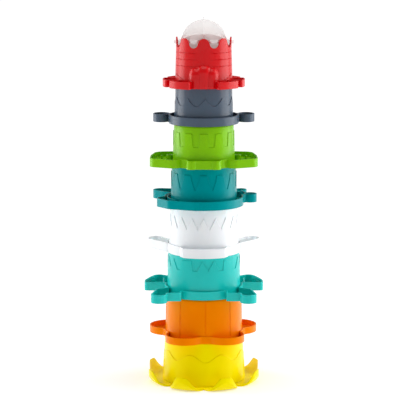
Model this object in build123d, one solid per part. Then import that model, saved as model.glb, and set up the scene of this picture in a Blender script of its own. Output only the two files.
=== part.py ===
"""A tower of eight upside-down stacking cups with a clear water wheel in the crown of the top cup.

Millimetres, +Z up. The origin is on the tower's axis, in the plane that the lowest cup stands on,
and -Y is the tower's front. Each cup is modelled mouth down with its mouth rim at z = 0, and is
then lifted to its place in the stack.
"""
from build123d import *
from dataclasses import dataclass
from math import cos, pi, radians, sin
import os


# ---------------------------------------------------------------- driving dimensions

@dataclass
class Cup:
    """The sizes of one cup. Heights are measured up from the mouth rim."""
    height: float            # mouth rim to the shoulder that the next cup stands on
    mouth_radius: float      # outside of the plain wall at the mouth
    shoulder_radius: float   # outside of the plain wall at the shoulder
    relief_low: float = 0.0  # lowest point of the wavy band's upper edge
    relief_high: float = 0.0  # highest point of it
    shoulder_round: float = 1.2  # rounding of the shoulder's edge


YELLOW = Cup(50.1, 45.2, 43.3, 28.5, 36.5)
ORANGE = Cup(48.2, 42.8, 42.0, shoulder_round=2.4)
AQUA = Cup(47.7, 39.8, 39.2, 31.2, 42.4, shoulder_round=2.0)
WHITE = Cup(51.4, 38.1, 36.6, 28.4, 41.4)
TEAL = Cup(46.5, 35.7, 35.2, 20.3, 36.6, shoulder_round=2.4)
GREEN = Cup(43.4, 33.5, 32.7, 20.3, 34.9, shoulder_round=2.4)
GRAY = Cup(40.4, 31.5, 31.0, 20.9, 29.6, shoulder_round=0.8)
RED = Cup(42.8, 31.4, 30.2)

wall = 1.6                # cup wall
relief_step = 0.6         # how far the wavy band stands out from the wall
spigot_round = 1.2        # rounding of the step's edge
spigot_height = 4.0       # raised step on a cup's base that enters the next mouth
spigot_clearance = 0.35   # radial, spigot to the mouth above
seat_gap = 0.05           # between a mouth rim and the shoulder it stands on

web_thickness = 1.4       # floor of the flange
strip_thickness = 1.7     # upright strip that edges the flange
strip_height = 9.3        # of the sea-creature cups
orange_strip_height = 7.7
red_strip_height = 8.0
rim_round = 0.5           # rounding of the strips' top edges
corner_round = 0.6        # rounding of the inner corners of the flanges' outlines
green_strip_drop = 2.4    # how far the green strips hang below the mouth rim
white_strip_drop = 1.0
drop_clearance = 0.6      # hanging strip to the shoulder of the cup below

crown_rise = 10.5         # from the floor of the crown's gaps to its tips
crown_lobes = 8
crown_lobe_width = 11.8
red_base_height = 17.6    # red cup, mouth rim to the underside of its base
drain_radius = 2.2
drain_ring_radius = 11.0
drain_count = 5

axle_radius = 1.9
axle_clearance = 0.08     # radial, axle to the holes in the crown
axle_overhang = 2.4       # how far the axle sticks out of the crown
hub_radius = 3.2
hub_end_gap = 1.0         # hub to the inside of the crown
blade_step = 2.1          # the blades are this much smaller in radius than the disc
blade_thickness = 1.2
blade_count = 6
disc_gap = 2.1            # disc to the inside of the cup, all round
disc_thickness = 1.4
wheel_turn = 4.0          # degrees, the way the wheel happens to stand
orange_turn = 2.5         # degrees, the way the orange cup happens to stand

crown_height = RED.height + crown_rise
disc_radius = RED.shoulder_radius - wall - disc_gap
blade_radius = disc_radius - blade_step
axle_height = red_base_height + wall + disc_gap + disc_radius


# ---------------------------------------------------------------- helpers

def upright(azimuth, origin=(0, 0, 0)):
    """A plane through the axis whose x runs round the cup, y is up and z points outwards."""
    a = radians(azimuth)
    return Plane(origin=origin, x_dir=(cos(a), sin(a), 0), z_dir=(sin(a), -cos(a), 0))


def pillar(radius, height):
    """A cylinder that stands on z = 0."""
    return Cylinder(radius, height, align=(Align.CENTER, Align.CENTER, Align.MIN))


def wall_radius(cup, z):
    """Outside radius of the plain wall at a height."""
    share = z / cup.height
    return cup.mouth_radius + (cup.shoulder_radius - cup.mouth_radius) * share


def spun(points):
    """The solid swept by a closed outline of (radius, height) points turned about the axis."""
    face = make_face(Plane.XZ * Polyline(*points, close=True))
    return revolve(face, Axis.Z)


def band(cup, low, high, outside, inside=0.4):
    """A thin sleeve on the cup's wall, from inside the wall to so much outside it."""
    r_low = wall_radius(cup, low)
    r_high = wall_radius(cup, high)
    return spun([(r_low - inside, low), (r_low + outside, low),
                 (r_high + outside, high), (r_high - inside, high)])


def spigot_radius(above):
    """Radius of the step that enters the mouth of the cup above."""
    return above.mouth_radius - wall - spigot_clearance


def shell(cup, above):
    """The cup's wall, shoulder, step and base."""
    step = spigot_radius(above)
    h = cup.height - seat_gap
    top = h + spigot_height
    outer = spun([(0, 0), (cup.mouth_radius, 0), (cup.shoulder_radius, h), (0, h)])
    outer = fillet(outer.edges().group_by(Axis.Z)[-1], cup.shoulder_round)
    outer += Pos(0, 0, h) * pillar(step, spigot_height)
    outer = fillet(outer.edges().group_by(Axis.Z)[-1], spigot_round)
    inner = spun([(0, -1), (cup.mouth_radius - wall, -1), (cup.mouth_radius - wall, 0),
                  (cup.shoulder_radius - wall, h - wall), (step - wall, h - wall),
                  (step - wall, top - wall), (0, top - wall)])
    return outer, inner


def relief(cup, cells, start=0.0, foot=2.0):
    """The part of a raised sleeve below a wavy edge.

    Each cell is (angle, edge): the angle it takes round the cup, and a function of the cell's
    half width that gives the points of its upper edge from left to right.
    """
    sleeve = band(cup, foot, cup.relief_high + 1, relief_step)
    reach = wall_radius(cup, 0) + relief_step + 1
    roof = cup.relief_high + 3
    azimuth = start
    for angle, edge in cells:
        half = reach * sin(radians(angle / 2)) + 0.02
        top = edge(half, cup.relief_low, cup.relief_high)
        face = make_face(top + Polyline(top @ 1, (half, roof), (-half, roof), top @ 0))
        sleeve -= extrude(upright(azimuth + angle / 2) * face, reach)
        azimuth += angle
    return sleeve


def battlement(share):
    """A square tooth that takes a share of the cell, with slightly sloping sides."""
    def edge(half, low, high):
        tooth = half * share
        slope = 0.76
        return Polyline((-half, low), (-tooth - slope, low), (-tooth + slope, high),
                        (tooth - slope, high), (tooth + slope, low), (half, low))
    return edge


def zigzag(half, low, high):
    """One straight-sided tooth."""
    return Polyline((-half, low), (0, high), (half, low))


def smooth_wave(half, low, high):
    """One rounded crest between two rounded troughs."""
    middle = (low + high) / 2
    return Spline((-half, low), (-half / 2, middle), (0, high), (half / 2, middle), (half, low),
                  tangents=[(1, 0), (1, 0)])


def deep_bays(half, low, high):
    """A flat-topped crest between two steep bays with rounded floors."""
    rise = high - low
    left = Spline((-half, low), (-half * 0.84, low + rise * 0.1), (-half * 0.64, low + rise * 0.45),
                  (-half * 0.42, high), tangents=[(1, 0), (0.12 * half, rise * 0.6)])
    top = Line(left @ 1, (half * 0.42, high))
    right = Spline((half * 0.42, high), (half * 0.64, low + rise * 0.45),
                   (half * 0.84, low + rise * 0.1), (half, low),
                   tangents=[(0.12 * half, -rise * 0.6), (1, 0)])
    return Wire([left, top, right])


def scallop(half, low, high):
    """A pointed crest between two rounded bays."""
    middle = low + (high - low) * 0.3
    left = Spline((-half, low), (-half / 2, middle), (0, high), tangents=[(1, 0), (0.5, 1)])
    right = Spline((0, high), (half / 2, middle), (half, low), tangents=[(0.5, -1), (1, 0)])
    return Wire([left, right])


def mirrored(sketch):
    """A sketch together with its reflection in the YZ plane."""
    return sketch + mirror(sketch, about=Plane.YZ)


def polygon(*points, radius):
    """A polygon with all its corners rounded."""
    face = make_face(Polyline(*points, close=True))
    return fillet(face.vertices(), radius)


def hull(*circles):
    """The smooth outline round some circles, each given as (x, y, radius)."""
    edges = []
    for x, y, radius in circles:
        edges += (Pos(x, y) * Circle(radius)).edges()
    return make_hull(edges)


def hang(part, outline, drop, below):
    """Carries the strip down past the mouth rim, outside the shoulder of the cup below."""
    strip = outline - offset(outline, amount=-strip_thickness)
    strip -= Circle(below.shoulder_radius + drop_clearance)
    return part + Pos(0, 0, -drop) * extrude(strip, drop + web_thickness / 2)


def softened(sketch, corner=corner_round):
    """A sketch with its inner corners rounded."""
    return offset(offset(sketch, amount=corner), amount=-corner)


def soft_top(sketch, height):
    """A sketch raised to a height, with the edges of its top face rounded."""
    solid = extrude(sketch, height)
    return fillet(solid.edges().group_by(Axis.Z)[-1], rim_round)


def flange(outline, height):
    """A floor with an upright strip round its edge."""
    strip = outline - offset(outline, amount=-strip_thickness)
    return extrude(outline, web_thickness) + soft_top(strip, height)


def placed(part, level, turn=0.0):
    """The cup turned on the tower's axis and lifted to its place."""
    return Pos(0, 0, level) * Rot(0, 0, turn) * part


# ---------------------------------------------------------------- the cups

petal_count = 8
petal_tip = 64.3          # radius to a petal's tip
petal_round = 19.8        # radius of a petal's outline
petal_rise = 13.4         # height of a petal's tip
petal_flat = 54.0         # the petals lie flat out to this radius, and then curl up
petal_thickness = 1.8


def yellow_cup():
    """The lowest cup: its flange is a shallow bowl cut into eight upturned petals."""
    outer, inner = shell(YELLOW, ORANGE)
    cup = outer + relief(YELLOW, [(45, smooth_wave)] * 8, start=3.0)
    r = YELLOW.mouth_radius
    t = petal_thickness
    tip = (petal_tip + 1.2, petal_rise + 1.5)
    foot = Line((r - wall, 0), (petal_flat, 0))
    sweep_up = Spline((petal_flat, 0), tip, tangents=[(1, 0), (0.3, 1)])
    rim = Line(tip, (petal_tip + 1.2 - t, petal_rise + 2.2))
    inside = Spline(rim @ 1, (petal_flat - 0.4, t), tangents=[(-0.3, -1), (-1, 0)])
    back = Line(inside @ 1, (r - wall, t))
    close = Line(back @ 1, (r - wall, 0))
    bowl = revolve(make_face(Plane.XZ * (foot + sweep_up + rim + inside + back + close)), Axis.Z)
    outline = Circle(YELLOW.mouth_radius + 2)
    for k in range(petal_count):
        petal = Pos(0, -(petal_tip - petal_round)) * Circle(petal_round)
        outline += Rot(0, 0, (k + 0.5) * 360 / petal_count) * petal
    cup += bowl & extrude(outline, petal_rise * 2)
    return cup - inner


# of the orange starfish: each arm's azimuth, and its outline's centre radius and radius
star_arms = ((-36, 37.1, 21.5), (36, 37.1, 21.5), (-116, 41.5, 22.5), (116, 41.5, 22.5),
             (180, 38.0, 21.5))
star_notch_round = 6.0
groove_count = 9
groove_radius = 0.55


def orange_cup():
    """A broad five-armed starfish, with upright grooves in the cup's wall."""
    outer, inner = shell(ORANGE, AQUA)
    outline = Circle(ORANGE.mouth_radius + 1.4)
    for azimuth, centre, radius in star_arms:
        outline += Rot(0, 0, azimuth) * Pos(0, -centre) * Circle(radius)
    cup = outer
    lean = ORANGE.mouth_radius - ORANGE.shoulder_radius
    for k in range(groove_count):
        low = Vector(0, -ORANGE.mouth_radius, web_thickness + 1)
        high = Vector(0, -ORANGE.mouth_radius + lean, ORANGE.height - ORANGE.shoulder_round - 1)
        line = Line(low, high)
        groove = sweep(Plane(low, z_dir=line % 0) * Circle(groove_radius), path=line)
        cup -= Rot(0, 0, k * 360 / groove_count) * groove
    cup += flange(softened(outline, star_notch_round), orange_strip_height)
    return cup - inner


def aqua_cup():
    """A crab: two toothed claws at the sides and two rounded feet in front."""
    outer, inner = shell(AQUA, WHITE)
    cells = [(36, battlement(0.55)), (18, zigzag), (18, zigzag)] * 5
    cup = outer + relief(AQUA, cells, start=-47.0)
    claw = hull((-61.8, 11.2, 4.2), (-59.5, 20, 6.5), (-54.5, 34, 7), (-50.5, 43, 7),
                (-40, 36, 6), (-38, 9.8, 4))
    foot = Pos(-48.2, -51.0) * Circle(9.0)
    foot += polygon((-57.2, -52), (-52, -25), (-36, -16), (-24.5, -24), (-24.5, -46.8), (-47, -47.5),
                    radius=2.4)
    outline = softened(Circle(43.4) + mirrored(claw + foot))
    cup += flange(outline, strip_height)
    for side in (-1, 1):
        inner_wall = Pos(side * 45.0, 21) * Rectangle(1.4, 29)
        cup += extrude(inner_wall, strip_height - 0.8)
        for k in range(4):
            tooth = Pos(side * (62.6 - 1.9 * k), 19 + 6.2 * k) * Rot(0, 0, side * 25) * Rectangle(4.2, 1.3)
            cup += extrude(tooth, strip_height - 1.5)
        slot = Pos(side * 41.4, 14) * Rectangle(2.6, 17)
        cup -= extrude(slot, web_thickness * 4, both=True)
    return cup - inner


loop_x = 54.0             # of the white cup's side loops
loop_near_y = 20.5
loop_far_y = 25.0
loop_radius = 8.0
loop_hole_radius = 4.7
arm_sink = 0.7            # the arms' flat tops lie this far below their rims


def white_cup():
    """Side arms, hollow from below, that end in oval loops, and a bulge in front."""
    outer, inner = shell(WHITE, TEAL)
    cup = outer + relief(WHITE, [(20, zigzag)] * 18, start=-10.0)
    far, near = (-loop_x, loop_far_y), (-loop_x, loop_near_y)
    arm = hull((*far, loop_radius), (*near, loop_radius), (-36, -1, loop_radius))
    hole = hull((*far, loop_hole_radius), (*near, loop_hole_radius))
    collar = offset(hole, amount=web_thickness)
    bulge = hull((-18, -32, 8.0), (18, -32, 8.0)) + (Circle(46.6) & Pos(0, -40) * Rectangle(46, 44))
    outline = softened(Circle(40.2) + mirrored(arm) + bulge)
    cup += flange(outline, strip_height)
    cup = hang(cup, outline, white_strip_drop, AQUA)
    arm -= Circle(WHITE.mouth_radius + 0.6)
    plate_top = strip_height - arm_sink
    cup += extrude(mirrored(offset(arm, amount=-strip_thickness / 2)), plate_top)
    cavity = offset(arm, amount=-strip_thickness) - collar
    cup -= extrude(mirrored(cavity), plate_top - web_thickness)
    cup += extrude(mirrored(collar - hole), strip_height - rim_round)
    cup -= extrude(mirrored(hole), strip_height * 2, both=True)
    return cup - inner


bubble_centre = (51.3, 15.5)   # the teal cup's open bubble
bubble_radius = 7.3
small_bubble_centre = (41.5, 43.5)
small_bubble_radius = 6.6
teal_body_radius = 43.6
teal_body_shift = 2.0          # the whale's body sits this far forward of the cup's axis
inner_ring_gap = 3.7           # teal wall to the ring round it
thin_rib = 1.4                 # inner ribs, rings and teeth


def teal_cup():
    """A whale: the tail's two flukes at the left, two bubbles at the right."""
    outer, inner = shell(TEAL, GREEN)
    cup = outer + relief(TEAL, [(30, deep_bays)] * 12, start=-15.0)
    front_fluke = hull((-42.7, -14.5, 8.5), (-33, -26.5, 9), (-8, -34.6, 11), (-22, 0, 10))
    back_fluke = hull((-48.0, 42.0, 8.8), (-38, 37, 12), (-26, 20, 6))
    bx, by = bubble_centre
    sx, sy = small_bubble_centre
    neck = hull((bx - 6, by - 2, 4), (sx - 4, sy - 4, 4), (24, 20, 6), (34, 4, 4))
    bubble = Pos(bx, by) * Circle(bubble_radius)
    small_bubble = Pos(sx, sy) * Circle(small_bubble_radius)
    body = Pos(0, -teal_body_shift) * Circle(teal_body_radius)
    outline = softened(body + front_fluke + back_fluke + bubble + small_bubble + neck)
    cup += flange(outline, strip_height)
    ring_radius = TEAL.mouth_radius + inner_ring_gap
    ring = Circle(ring_radius + thin_rib) - Circle(ring_radius)
    cup += extrude(ring & Pos(-30, 8) * Rectangle(60, 70), strip_height - 0.4)
    for k in range(3):
        tooth = Pos(-46.4 + 1.6 * k, -14.5 + 4.6 * k) * Rot(0, 0, 35) * Rectangle(4.6, thin_rib)
        cup += extrude(tooth, strip_height - 1.5)
    hole = Pos(bx, by) * Circle(bubble_radius - strip_thickness)
    cup += extrude(bubble, strip_height - 0.2)
    cup += extrude(small_bubble, strip_height - 2.2)
    cup -= extrude(hole, strip_height * 2, both=True)
    return cup - inner


def green_cup():
    """A turtle: a broad pad on each side and a two-lobed head in front."""
    outer, inner = shell(GREEN, GRAY)
    cup = outer + relief(GREEN, [(30, battlement(0.54))] * 12, start=-15.0)
    pad = hull((-48.6, -14.5, 10.2), (-47.8, 5, 10.6), (-45, 24, 10), (-33, -22, 10), (-30, 26, 10))
    head = hull((-12.8, -36.4, 6.0), (-12.8, -24, 6.0)) + Pos(0, -32) * Rectangle(16, 17.4)
    head += mirror(head, about=Plane.YZ)
    outline = softened(Circle(37.4) + mirrored(pad) + head)
    cup += flange(outline, strip_height - green_strip_drop)
    cup = hang(cup, outline, green_strip_drop, TEAL)
    post = Pos(46.4, 9.5) * Circle(1.3)
    eyelet = Pos(37.4, 8.5) * Circle(3.6)
    eyelet_hole = Pos(37.4, 8.5) * Circle(2.3)
    cup += extrude(mirrored(post), strip_height - green_strip_drop - 0.8)
    cup += extrude(mirrored(eyelet), strip_height - green_strip_drop)
    cup -= extrude(mirrored(eyelet_hole), strip_height * 2, both=True)
    return cup - inner


gray_ring_radius = 38.2
gray_loop_centre = (46.4, 14.0)
gray_loop_x = 9.3          # half the loop's width
gray_loop_y = 11.5         # half its depth
gray_neck_width = 14.0     # of the web that joins a loop to the ring


def gray_cup():
    """A plain round trough with a large finger loop on each side."""
    outer, inner = shell(GRAY, RED)
    cup = outer + relief(GRAY, [(36, scallop)] * 10, start=-15.0)
    x, y = gray_loop_centre
    ear = Pos(x, y) * Ellipse(gray_loop_x, gray_loop_y)
    eye = Pos(x, y) * Ellipse(gray_loop_x - strip_thickness, gray_loop_y - strip_thickness)
    neck_end = x - gray_loop_x + strip_thickness
    neck = Pos((gray_ring_radius + neck_end) / 2 - 3, y - 3) * Rectangle(6.6, gray_neck_width)
    ear += neck - Circle(gray_ring_radius - strip_thickness)
    cup += flange(Circle(gray_ring_radius), strip_height)
    cup += soft_top(mirrored(ear - eye), strip_height - 0.6)
    cup -= extrude(mirrored(eye), strip_height * 2, both=True)
    return cup - inner


tentacle_count = 7
tentacle_pitch = 47.0      # degrees between the red cup's tentacles
tentacle_width = 37.0      # degrees that each one takes
tentacle_radius = 44.8
head_radius = 9.0          # of the octopus head's middle lobe
head_height = 26.0
head_step = 5.0            # how far it stands out from the wall
side_lobe_radius = 8.2
side_lobe_x = 7.6
side_lobe_height = 22.8
side_lobe_set_back = 1.0   # behind the front of the middle lobe
crease_azimuth = 59.5      # middle of the sloping ridge above a front tentacle
crease_run = 14.4          # its length round the cup
crease_high = 14.3
crease_low = 9.5
crease_width = 1.2
red_groove_heights = (23.4, 30.6, 37.8)
red_groove_depth = 0.5


def tentacle(azimuth):
    """A blunt arm: a sector of the flange with rounded corners."""
    edge = tentacle_radius * 1.4
    a = radians(tentacle_width / 2)
    wedge = make_face(Polyline((0, 0), (-edge * sin(a), -edge * cos(a)), (0, -edge),
                               (edge * sin(a), -edge * cos(a)), close=True))
    arm = (Circle(tentacle_radius) & wedge) - Circle(RED.mouth_radius - wall / 2)
    return Rot(0, 0, azimuth) * fillet(arm.vertices(), 2.0)


def bullet(x, y, radius, height):
    """An upright pillar with a round top."""
    flank = Line((0, 0), (radius, 0)) + Line((radius, 0), (radius, height - radius))
    top = RadiusArc((radius, height - radius), (0, height), -radius)
    return Pos(x, y, 0) * revolve(make_face(Plane.XZ * (flank + top + Line((0, height), (0, 0)))), Axis.Z)


def octopus_head():
    """A plump head of three lobes on the front of the red cup, from the mouth rim up."""
    front = -(RED.mouth_radius + head_step)
    head = bullet(0, front + head_radius, head_radius, head_height)
    for side in (-1, 1):
        y = front + side_lobe_set_back + side_lobe_radius
        head += bullet(side * side_lobe_x, y, side_lobe_radius, side_lobe_height)
    mid = wall / 2
    chamber = spun([(0, -60), (RED.mouth_radius - mid, -60), (RED.mouth_radius - mid, 0),
                    (RED.shoulder_radius - mid, RED.height), (0, RED.height)])
    return head - chamber


def crease(side):
    """A low ridge that slopes down to a front tentacle, on one side of the red cup."""
    near = -side * crease_run / 2
    face = make_face(Polyline((-near, crease_high), (near, crease_low), (near, crease_low - crease_width),
                              (-near, crease_high - crease_width), close=True))
    sleeve = band(RED, crease_low - crease_width, crease_high, relief_step)
    return sleeve & extrude(upright(side * crease_azimuth) * face, RED.mouth_radius + 2)


def crown():
    """The tube above the red cup's wall, cut into rounded lobes."""
    gap_floor = RED.height
    lobe = crown_lobe_width / 2
    mean = RED.shoulder_radius - wall / 2
    gap = mean * sin(pi / crown_lobes) - lobe
    tube = pillar(RED.shoulder_radius, crown_height) - pillar(RED.shoulder_radius - wall, crown_height)
    reach = RED.shoulder_radius + 2
    low = Pos(0, 0, -0.01) * pillar(reach, gap_floor + gap)
    lobes = Part()
    bites = Part()
    for k in range(crown_lobes):
        turn = k * 360 / crown_lobes
        face = Pos(0, crown_height - lobe) * Circle(lobe)
        face += Pos(0, (crown_height - lobe) / 2) * Rectangle(crown_lobe_width, crown_height - lobe)
        lobes += extrude(upright(turn) * face, reach)
        bite = Pos(0, gap_floor + gap) * Circle(gap)
        bites += extrude(upright(turn + 180 / crown_lobes) * bite, reach)
    return (tube & low) - bites + (tube & lobes)


def red_cup():
    """The top cup: an open chamber for the wheel, with an octopus's head and tentacles at its mouth."""
    r_in = RED.mouth_radius - wall
    skin = spun([(r_in, 0), (RED.mouth_radius, 0), (RED.shoulder_radius, RED.height - 2),
                 (RED.shoulder_radius - wall, RED.height - 2)])
    base = Pos(0, 0, red_base_height) * pillar(r_in - 0.2, wall)
    upper = crown() & Pos(0, 0, RED.height - 2) * pillar(2 * RED.mouth_radius, crown_height)
    cup = skin + upper + base
    outline = Circle(RED.mouth_radius + 0.6)
    for k in range(tentacle_count):
        outline += tentacle(180 + (k - (tentacle_count - 1) / 2) * tentacle_pitch)
    cup += flange(outline, red_strip_height)
    cup += octopus_head()
    cup += crease(-1)
    cup += crease(1)
    for z in red_groove_heights:
        ring = spun([(wall_radius(RED, z) - red_groove_depth, z), (wall_radius(RED, z) + 1, z - 1.1),
                     (wall_radius(RED, z) + 1, z + 1.1)])
        for side in (-1, 1):
            sector = make_face(Polyline((0, 0), (side * 16, -60), (side * 60, -60),
                                        (side * 60, 60), close=True))
            cup -= ring & extrude(sector, crown_height)
    cup -= spun([(0, -1), (r_in, -1), (r_in - 0.3, red_base_height), (0, red_base_height)])
    drains = Pos(0, 0, red_base_height - 1) * pillar(drain_radius, wall + 2)
    cup -= drains
    for k in range(drain_count):
        cup -= Rot(0, 0, k * 360 / drain_count) * Pos(0, -drain_ring_radius, 0) * drains
    hole = Cylinder(axle_radius + axle_clearance, 4 * RED.mouth_radius, rotation=(0, 90, 0))
    return cup - Pos(0, 0, axle_height) * hole


def water_wheel():
    """One clear moulding: an axle with a hub, six half-round blades and a disc across the middle."""
    length = 2 * (RED.shoulder_radius + axle_overhang)
    wheel = Cylinder(axle_radius, length, rotation=(0, 90, 0))
    hub_length = 2 * (RED.shoulder_radius - wall - hub_end_gap)
    wheel += Cylinder(hub_radius, hub_length, rotation=(0, 90, 0))
    wheel += Cylinder(disc_radius, disc_thickness, rotation=(0, 90, 0))
    half = Circle(blade_radius) & Pos(0, blade_radius / 2) * Rectangle(2 * blade_radius, blade_radius)
    blade = extrude(Plane.XZ * half, blade_thickness / 2, both=True)
    for k in range(blade_count):
        wheel += Rot(k * 360 / blade_count + wheel_turn, 0, 0) * blade
    return wheel


# ---------------------------------------------------------------- the tower

def stack_levels():
    """The height of each cup's mouth rim above the ground."""
    levels = {}
    level = 0.0
    for name, cup in (("yellow", YELLOW), ("orange", ORANGE), ("aqua", AQUA), ("white", WHITE),
                      ("teal", TEAL), ("green", GREEN), ("gray", GRAY), ("red", RED)):
        levels[name] = level
        level += cup.height
    return levels


def build():
    level = stack_levels()
    return {
        "yellow_cup": placed(yellow_cup(), level["yellow"]),
        "orange_cup": placed(orange_cup(), level["orange"], orange_turn),
        "aqua_cup": placed(aqua_cup(), level["aqua"]),
        "white_cup": placed(white_cup(), level["white"]),
        "teal_cup": placed(teal_cup(), level["teal"]),
        "green_cup": placed(green_cup(), level["green"]),
        "gray_cup": placed(gray_cup(), level["gray"]),
        "red_cup": placed(red_cup(), level["red"]),
        "water_wheel": placed(water_wheel(), level["red"] + axle_height),
    }


os.makedirs("parts", exist_ok=True)
for node, shape in build().items():
    export_step(shape, f"parts/{node}.step")
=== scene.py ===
"""The stacking cup tower: plastics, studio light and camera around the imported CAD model."""
from math import cos, pi, radians, sin

import bpy
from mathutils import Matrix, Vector

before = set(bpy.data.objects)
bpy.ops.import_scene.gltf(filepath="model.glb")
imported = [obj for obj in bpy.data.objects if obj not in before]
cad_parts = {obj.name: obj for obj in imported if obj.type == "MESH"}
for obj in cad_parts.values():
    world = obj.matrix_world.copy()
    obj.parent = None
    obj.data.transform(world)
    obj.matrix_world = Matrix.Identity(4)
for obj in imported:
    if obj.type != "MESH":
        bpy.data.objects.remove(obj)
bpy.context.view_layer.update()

# ---------------------------------------------------------------- driving values, metres

CAMERA_DISTANCE = 1.980    # from the tower's axis, along the ground
CAMERA_HEIGHT = 0.5403
CAMERA_PITCH = 9.957       # degrees below level
CAMERA_LENS = 158.15       # mm, on a 36 mm sensor
CAMERA_SHIFT = 0.0101      # the tower stands slightly left of the picture's middle

EDGE_RADIUS = 0.0006       # how far the moulded edges look eased
GRAIN_DEPTH = 0.0002       # of the spark texture
FLOW_SCALE = 18.0          # of the noise that makes the flow marks
GRAIN_SCALE = 900.0        # of the noise that makes the spark texture
CLOUD_SCALE = 30.0         # of the noise that clouds the clear plastic
PLASTIC_ROUGHNESS = 0.24
PLASTIC_SPECULAR = 0.28
PLASTIC_BLEED = 0.05       # share of the light that scatters below the surface
BLEED_DEPTH = 0.003

FLOOR_RINGS = (0.3, 1.0, 3.0, 10.0, 30.0)   # radii of the floor's rings of points
FLOOR_SIDES = 48
FLOOR_NEAR_GLOW = 0.25     # lights the floor to white round the tower
FLOOR_FAR_GLOW = 0.78      # and further off, where the lamps don't reach

LAMPS_AIM = (0, 0, 0.2)    # the tower's middle
ROOM_GLOW = 0.31

PLAIN = (255, 255, 255)    # untinted gloss

# as display colours: the plastic, the slightly deeper tone of its flow marks, and its gloss's tint
CUP_COLOURS = {
    "yellow_cup": ((255, 238, 0), (250, 230, 0), (255, 238, 0)),
    "orange_cup": ((255, 138, 0), (253, 131, 0), (255, 138, 0)),
    "aqua_cup": ((14, 203, 196), (10, 197, 190), PLAIN),
    "white_cup": ((249, 251, 254), (245, 248, 251), PLAIN),
    "teal_cup": ((0, 147, 152), (0, 140, 145), (0, 180, 185)),
    "green_cup": ((131, 197, 6), (123, 191, 6), (200, 235, 150)),
    "gray_cup": ((72, 87, 104), (68, 83, 100), PLAIN),
    "red_cup": ((214, 0, 10), (206, 0, 8), PLAIN),
}


# ---------------------------------------------------------------- helpers

def linear(red, green, blue):
    """A display colour, 0 to 255, as the linear colour that shaders take."""
    channels = []
    for value in (red, green, blue):
        v = value / 255
        channels.append(v / 12.92 if v <= 0.04045 else ((v + 0.055) / 1.055) ** 2.4)
    return (*channels, 1.0)


def new_material(name):
    """An empty node material with its output and a principled shader."""
    material = bpy.data.materials.new(name)
    material.use_nodes = True
    tree = material.node_tree
    shader = tree.nodes["Principled BSDF"]
    return material, tree, shader


def add(tree, kind, **inputs):
    """A node with some of its input sockets set."""
    node = tree.nodes.new(kind)
    for socket, value in inputs.items():
        node.inputs[socket.replace("_", " ")].default_value = value
    return node


# ---------------------------------------------------------------- materials

def moulded_plastic(name, colour, deep, gloss_tint):
    """Soft-gloss moulded plastic: faint flow marks in the colour, fine spark texture, eased edges."""
    material, tree, shader = new_material(name)
    link = tree.links.new
    place = tree.nodes.new("ShaderNodeTexCoord")

    flow = add(tree, "ShaderNodeTexNoise", Scale=FLOW_SCALE, Detail=3.0, Roughness=0.55)
    link(place.outputs["Object"], flow.inputs["Vector"])
    ramp = tree.nodes.new("ShaderNodeValToRGB")
    ramp.color_ramp.elements[0].position = 0.32
    ramp.color_ramp.elements[0].color = linear(*deep)
    ramp.color_ramp.elements[1].position = 0.62
    ramp.color_ramp.elements[1].color = linear(*colour)
    link(flow.outputs["Fac"], ramp.inputs["Fac"])
    link(ramp.outputs["Color"], shader.inputs["Base Color"])

    grain = add(tree, "ShaderNodeTexNoise", Scale=GRAIN_SCALE, Detail=2.0)
    link(place.outputs["Object"], grain.inputs["Vector"])
    spread = add(tree, "ShaderNodeMapRange",
                 To_Min=PLASTIC_ROUGHNESS - 0.04, To_Max=PLASTIC_ROUGHNESS + 0.06)
    link(grain.outputs["Fac"], spread.inputs["Value"])
    link(spread.outputs["Result"], shader.inputs["Roughness"])

    eased = add(tree, "ShaderNodeBevel", Radius=EDGE_RADIUS)
    eased.samples = 6
    bump = add(tree, "ShaderNodeBump", Strength=0.05, Distance=GRAIN_DEPTH)
    link(eased.outputs["Normal"], bump.inputs["Normal"])
    link(grain.outputs["Fac"], bump.inputs["Height"])
    link(bump.outputs["Normal"], shader.inputs["Normal"])

    shader.inputs["Subsurface Weight"].default_value = PLASTIC_BLEED
    shader.inputs["Subsurface Scale"].default_value = BLEED_DEPTH
    shader.inputs["Specular IOR Level"].default_value = PLASTIC_SPECULAR
    shader.inputs["Specular Tint"].default_value = linear(*gloss_tint)
    return material


def clear_plastic(name):
    """Thin milky-clear plastic: mostly see-through, with faint clouding whose faint pink is a painted
    reflection of the red cup's light.
    """
    material, tree, shader = new_material(name)
    link = tree.links.new
    place = tree.nodes.new("ShaderNodeTexCoord")
    cloud = add(tree, "ShaderNodeTexNoise", Scale=CLOUD_SCALE, Detail=2.0)
    link(place.outputs["Object"], cloud.inputs["Vector"])
    ramp = tree.nodes.new("ShaderNodeValToRGB")
    # painted reflection: the pinkish darker end stands for red light bounced from the red cup; where
    # it falls varies at random with the clouding
    ramp.color_ramp.elements[0].color = linear(252, 245, 243)
    ramp.color_ramp.elements[1].color = linear(255, 253, 252)
    link(cloud.outputs["Fac"], ramp.inputs["Fac"])
    link(ramp.outputs["Color"], shader.inputs["Base Color"])
    gloss = add(tree, "ShaderNodeMapRange", To_Min=0.1, To_Max=0.2)
    link(cloud.outputs["Fac"], gloss.inputs["Value"])
    link(gloss.outputs["Result"], shader.inputs["Roughness"])
    veil = add(tree, "ShaderNodeMapRange", To_Min=0.34, To_Max=0.42)
    link(cloud.outputs["Fac"], veil.inputs["Value"])
    link(veil.outputs["Result"], shader.inputs["Alpha"])
    return material


def paint(node, material):
    """Gives a CAD node one material."""
    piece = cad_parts[node]
    piece.data.materials.clear()
    piece.data.materials.append(material)


def dress_cad():
    """Gives every carried-over CAD node its plastic."""
    for node, colours in CUP_COLOURS.items():
        paint(node, moulded_plastic(node.replace("_cup", "_plastic"), *colours))
    paint("water_wheel", clear_plastic("clear_plastic"))


# ---------------------------------------------------------------- studio

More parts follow.
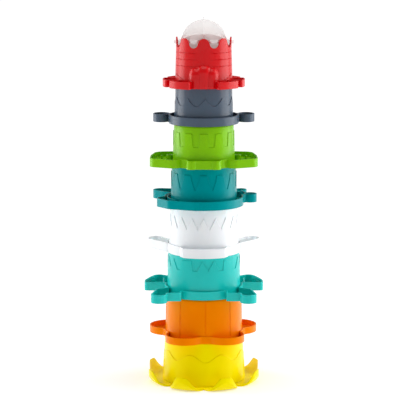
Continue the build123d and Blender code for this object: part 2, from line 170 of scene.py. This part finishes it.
def floor():
    """A wide pale floor, lit to white: a fan of triangles ringed by bands of squares."""
    points = [(0.0, 0.0, 0.0)]
    for radius in FLOOR_RINGS:
        for k in range(FLOOR_SIDES):
            angle = 2 * pi * k / FLOOR_SIDES
            points.append((radius * cos(angle), radius * sin(angle), 0.0))
    faces = [(0, 1 + k, 1 + (k + 1) % FLOOR_SIDES) for k in range(FLOOR_SIDES)]
    for ring in range(len(FLOOR_RINGS) - 1):
        inner = 1 + ring * FLOOR_SIDES
        outer = inner + FLOOR_SIDES
        for k in range(FLOOR_SIDES):
            following = (k + 1) % FLOOR_SIDES
            faces.append((inner + k, outer + k, outer + following, inner + following))
    mesh = bpy.data.meshes.new("floor")
    mesh.from_pydata(points, [], faces)
    piece = bpy.data.objects.new("floor", mesh)
    bpy.context.scene.collection.objects.link(piece)
    mesh.materials.append(floor_paint())


def floor_paint():
    """Matt white that glows a little more away from the tower."""
    material, tree, shader = new_material("floor_paint")
    link = tree.links.new
    place = tree.nodes.new("ShaderNodeTexCoord")
    distance = tree.nodes.new("ShaderNodeVectorMath")
    distance.operation = "LENGTH"
    link(place.outputs["Object"], distance.inputs[0])
    glow = add(tree, "ShaderNodeMapRange", From_Min=0.4, From_Max=2.0,
               To_Min=FLOOR_NEAR_GLOW, To_Max=FLOOR_FAR_GLOW)
    link(distance.outputs["Value"], glow.inputs["Value"])
    link(glow.outputs["Result"], shader.inputs["Emission Strength"])
    shader.inputs["Emission Color"].default_value = (1, 1, 1, 1)
    shader.inputs["Base Color"].default_value = (0.9, 0.9, 0.9, 1)
    shader.inputs["Roughness"].default_value = 0.8
    shader.inputs["Specular IOR Level"].default_value = 0.0
    return material


def softbox(name, place, size, radiance):
    """A rectangular studio light that faces the tower."""
    light = bpy.data.lights.new(name, "AREA")
    light.shape = "RECTANGLE"
    light.size, light.size_y = size
    light.energy = radiance * pi * size[0] * size[1]
    lamp = bpy.data.objects.new(name, light)
    lamp.location = place
    lamp.rotation_euler = (Vector(LAMPS_AIM) - Vector(place)).to_track_quat("-Z", "Y").to_euler()
    bpy.context.scene.collection.objects.link(lamp)


def studio():
    """White floor, a tall softbox on each side, one overhead and a dim room."""
    floor()
    softbox("left_box", (-1.0, 0.25, 0.45), (0.7, 1.3), 2.9)
    softbox("right_box", (1.0, 0.1, 0.45), (0.9, 1.3), 2.75)
    softbox("top_box", (0, -0.1, 1.6), (1.4, 1.4), 1.6)
    world = bpy.data.worlds.new("studio_air")
    bpy.context.scene.world = world
    world.use_nodes = True
    sky = world.node_tree.nodes["Background"]
    sky.inputs["Color"].default_value = (1, 1, 1, 1)
    sky.inputs["Strength"].default_value = ROOM_GLOW


def camera():
    """The viewpoint: slightly above the tower, looking down at it."""
    data = bpy.data.cameras.new("camera")
    data.lens = CAMERA_LENS
    data.sensor_width = 36
    data.shift_x = CAMERA_SHIFT
    data.clip_end = 20
    view = bpy.data.objects.new("camera", data)
    view.location = (0, -CAMERA_DISTANCE, CAMERA_HEIGHT)
    view.rotation_euler = (radians(90 - CAMERA_PITCH), 0, 0)
    bpy.context.scene.collection.objects.link(view)
    bpy.context.scene.camera = view


camera()
dress_cad()
studio()
bpy.context.scene.view_settings.view_transform = "Standard"
